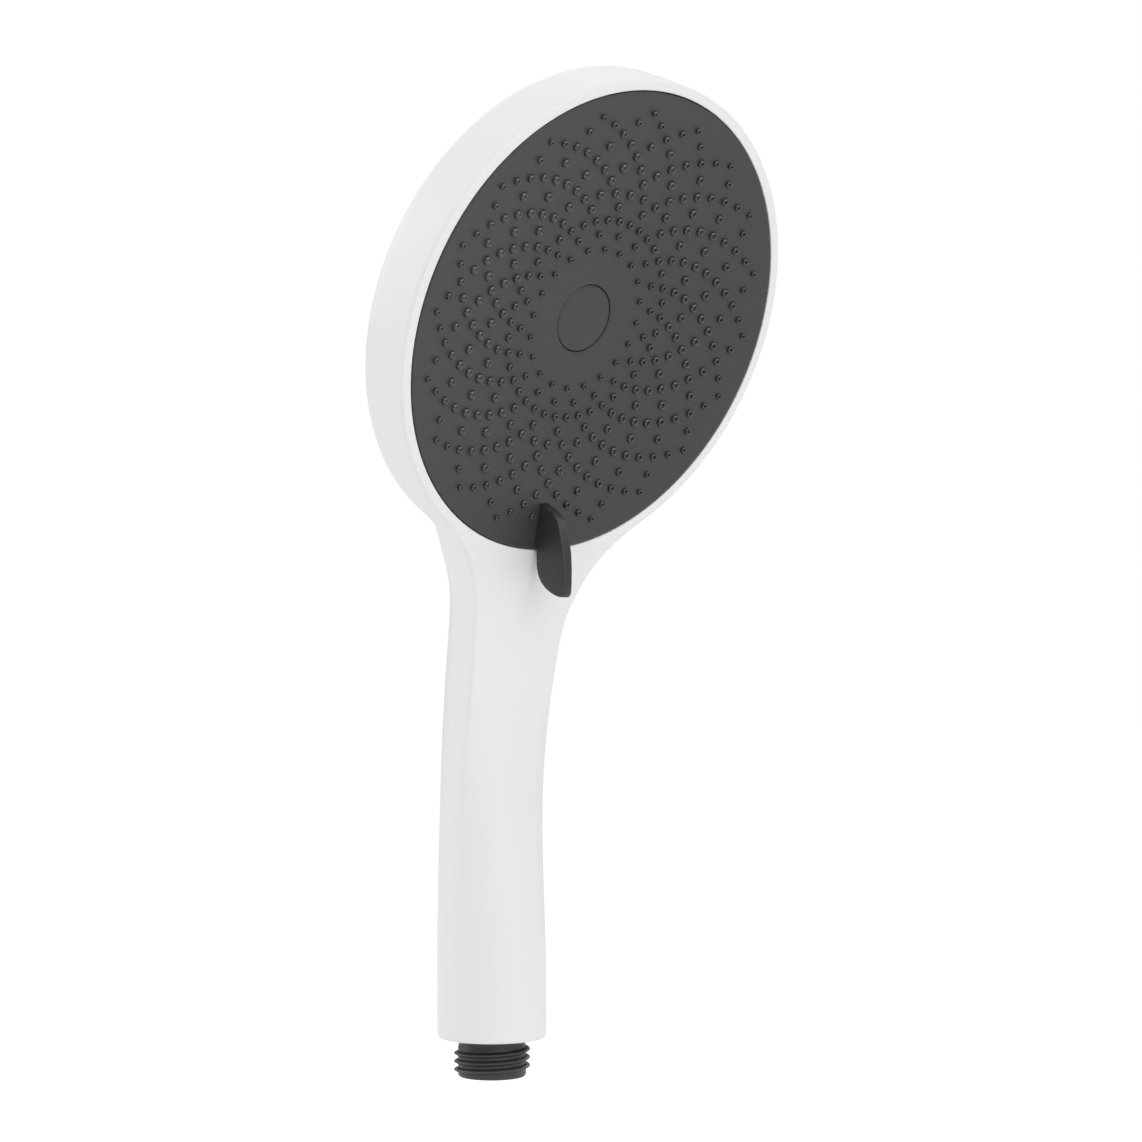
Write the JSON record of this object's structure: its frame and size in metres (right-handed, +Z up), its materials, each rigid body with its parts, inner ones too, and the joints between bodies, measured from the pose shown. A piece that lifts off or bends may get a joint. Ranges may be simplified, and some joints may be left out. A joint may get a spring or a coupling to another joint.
{
  "type": "handheld shower head",
  "caption": "Handheld shower head with a round dished spray face that turns by a fin lever, a white D-section handle and a threaded inlet.",
  "frame": {"origin": "centre of the threaded inlet's end face", "axes": "+Z up the handle, -Y towards the spray side, +X to the right seen from the front"},
  "size_m": [0.134, 0.0806, 0.2716],
  "materials": {
    "white_abs": "satin white ABS",
    "dark_grey_plastic": "matt dark grey ABS",
    "black_plastic": "moulded glass-filled nylon",
    "grey_plastic": "natural acetal",
    "silicone": "soft silicone",
    "rubber": "black EPDM",
    "steel": "stainless steel"
  },
  "bodies": {
    "handset": {"handset_shell": "white_abs", "inlet_spigot": "black_plastic", "spigot_o_ring": "rubber", "inlet_filter": "steel", "flow_limiter": "grey_plastic", "limiter_o_ring": "rubber", "waterway_tube": "grey_plastic", "tube_lower_o_ring": "rubber", "tube_upper_o_ring": "rubber", "manifold": "grey_plastic", "manifold_cover": "grey_plastic", "manifold_screws": "steel", "port_seal": "rubber", "port_spring": "steel", "detent_ball": "steel", "detent_spring": "steel", "rotor_seal": "rubber", "centre_screw": "steel", "centre_washer": "steel"},
    "spray_head": {"spray_plate": "dark_grey_plastic", "rotor": "grey_plastic", "nozzle_mat": "silicone", "chamber_seal": "rubber", "plate_screws": "steel", "mode_lever": "dark_grey_plastic", "lever_screw": "steel", "centre_cap": "dark_grey_plastic"}
  },
  "joints": [
    {"name": "spray_turn", "type": "hinge", "parent": "handset", "child": "spray_head", "pos_m": [0, -0.0413, 0.2039], "axis": [0, -0.9317, -0.3633], "range_deg": [-30, 30]}
  ]
}
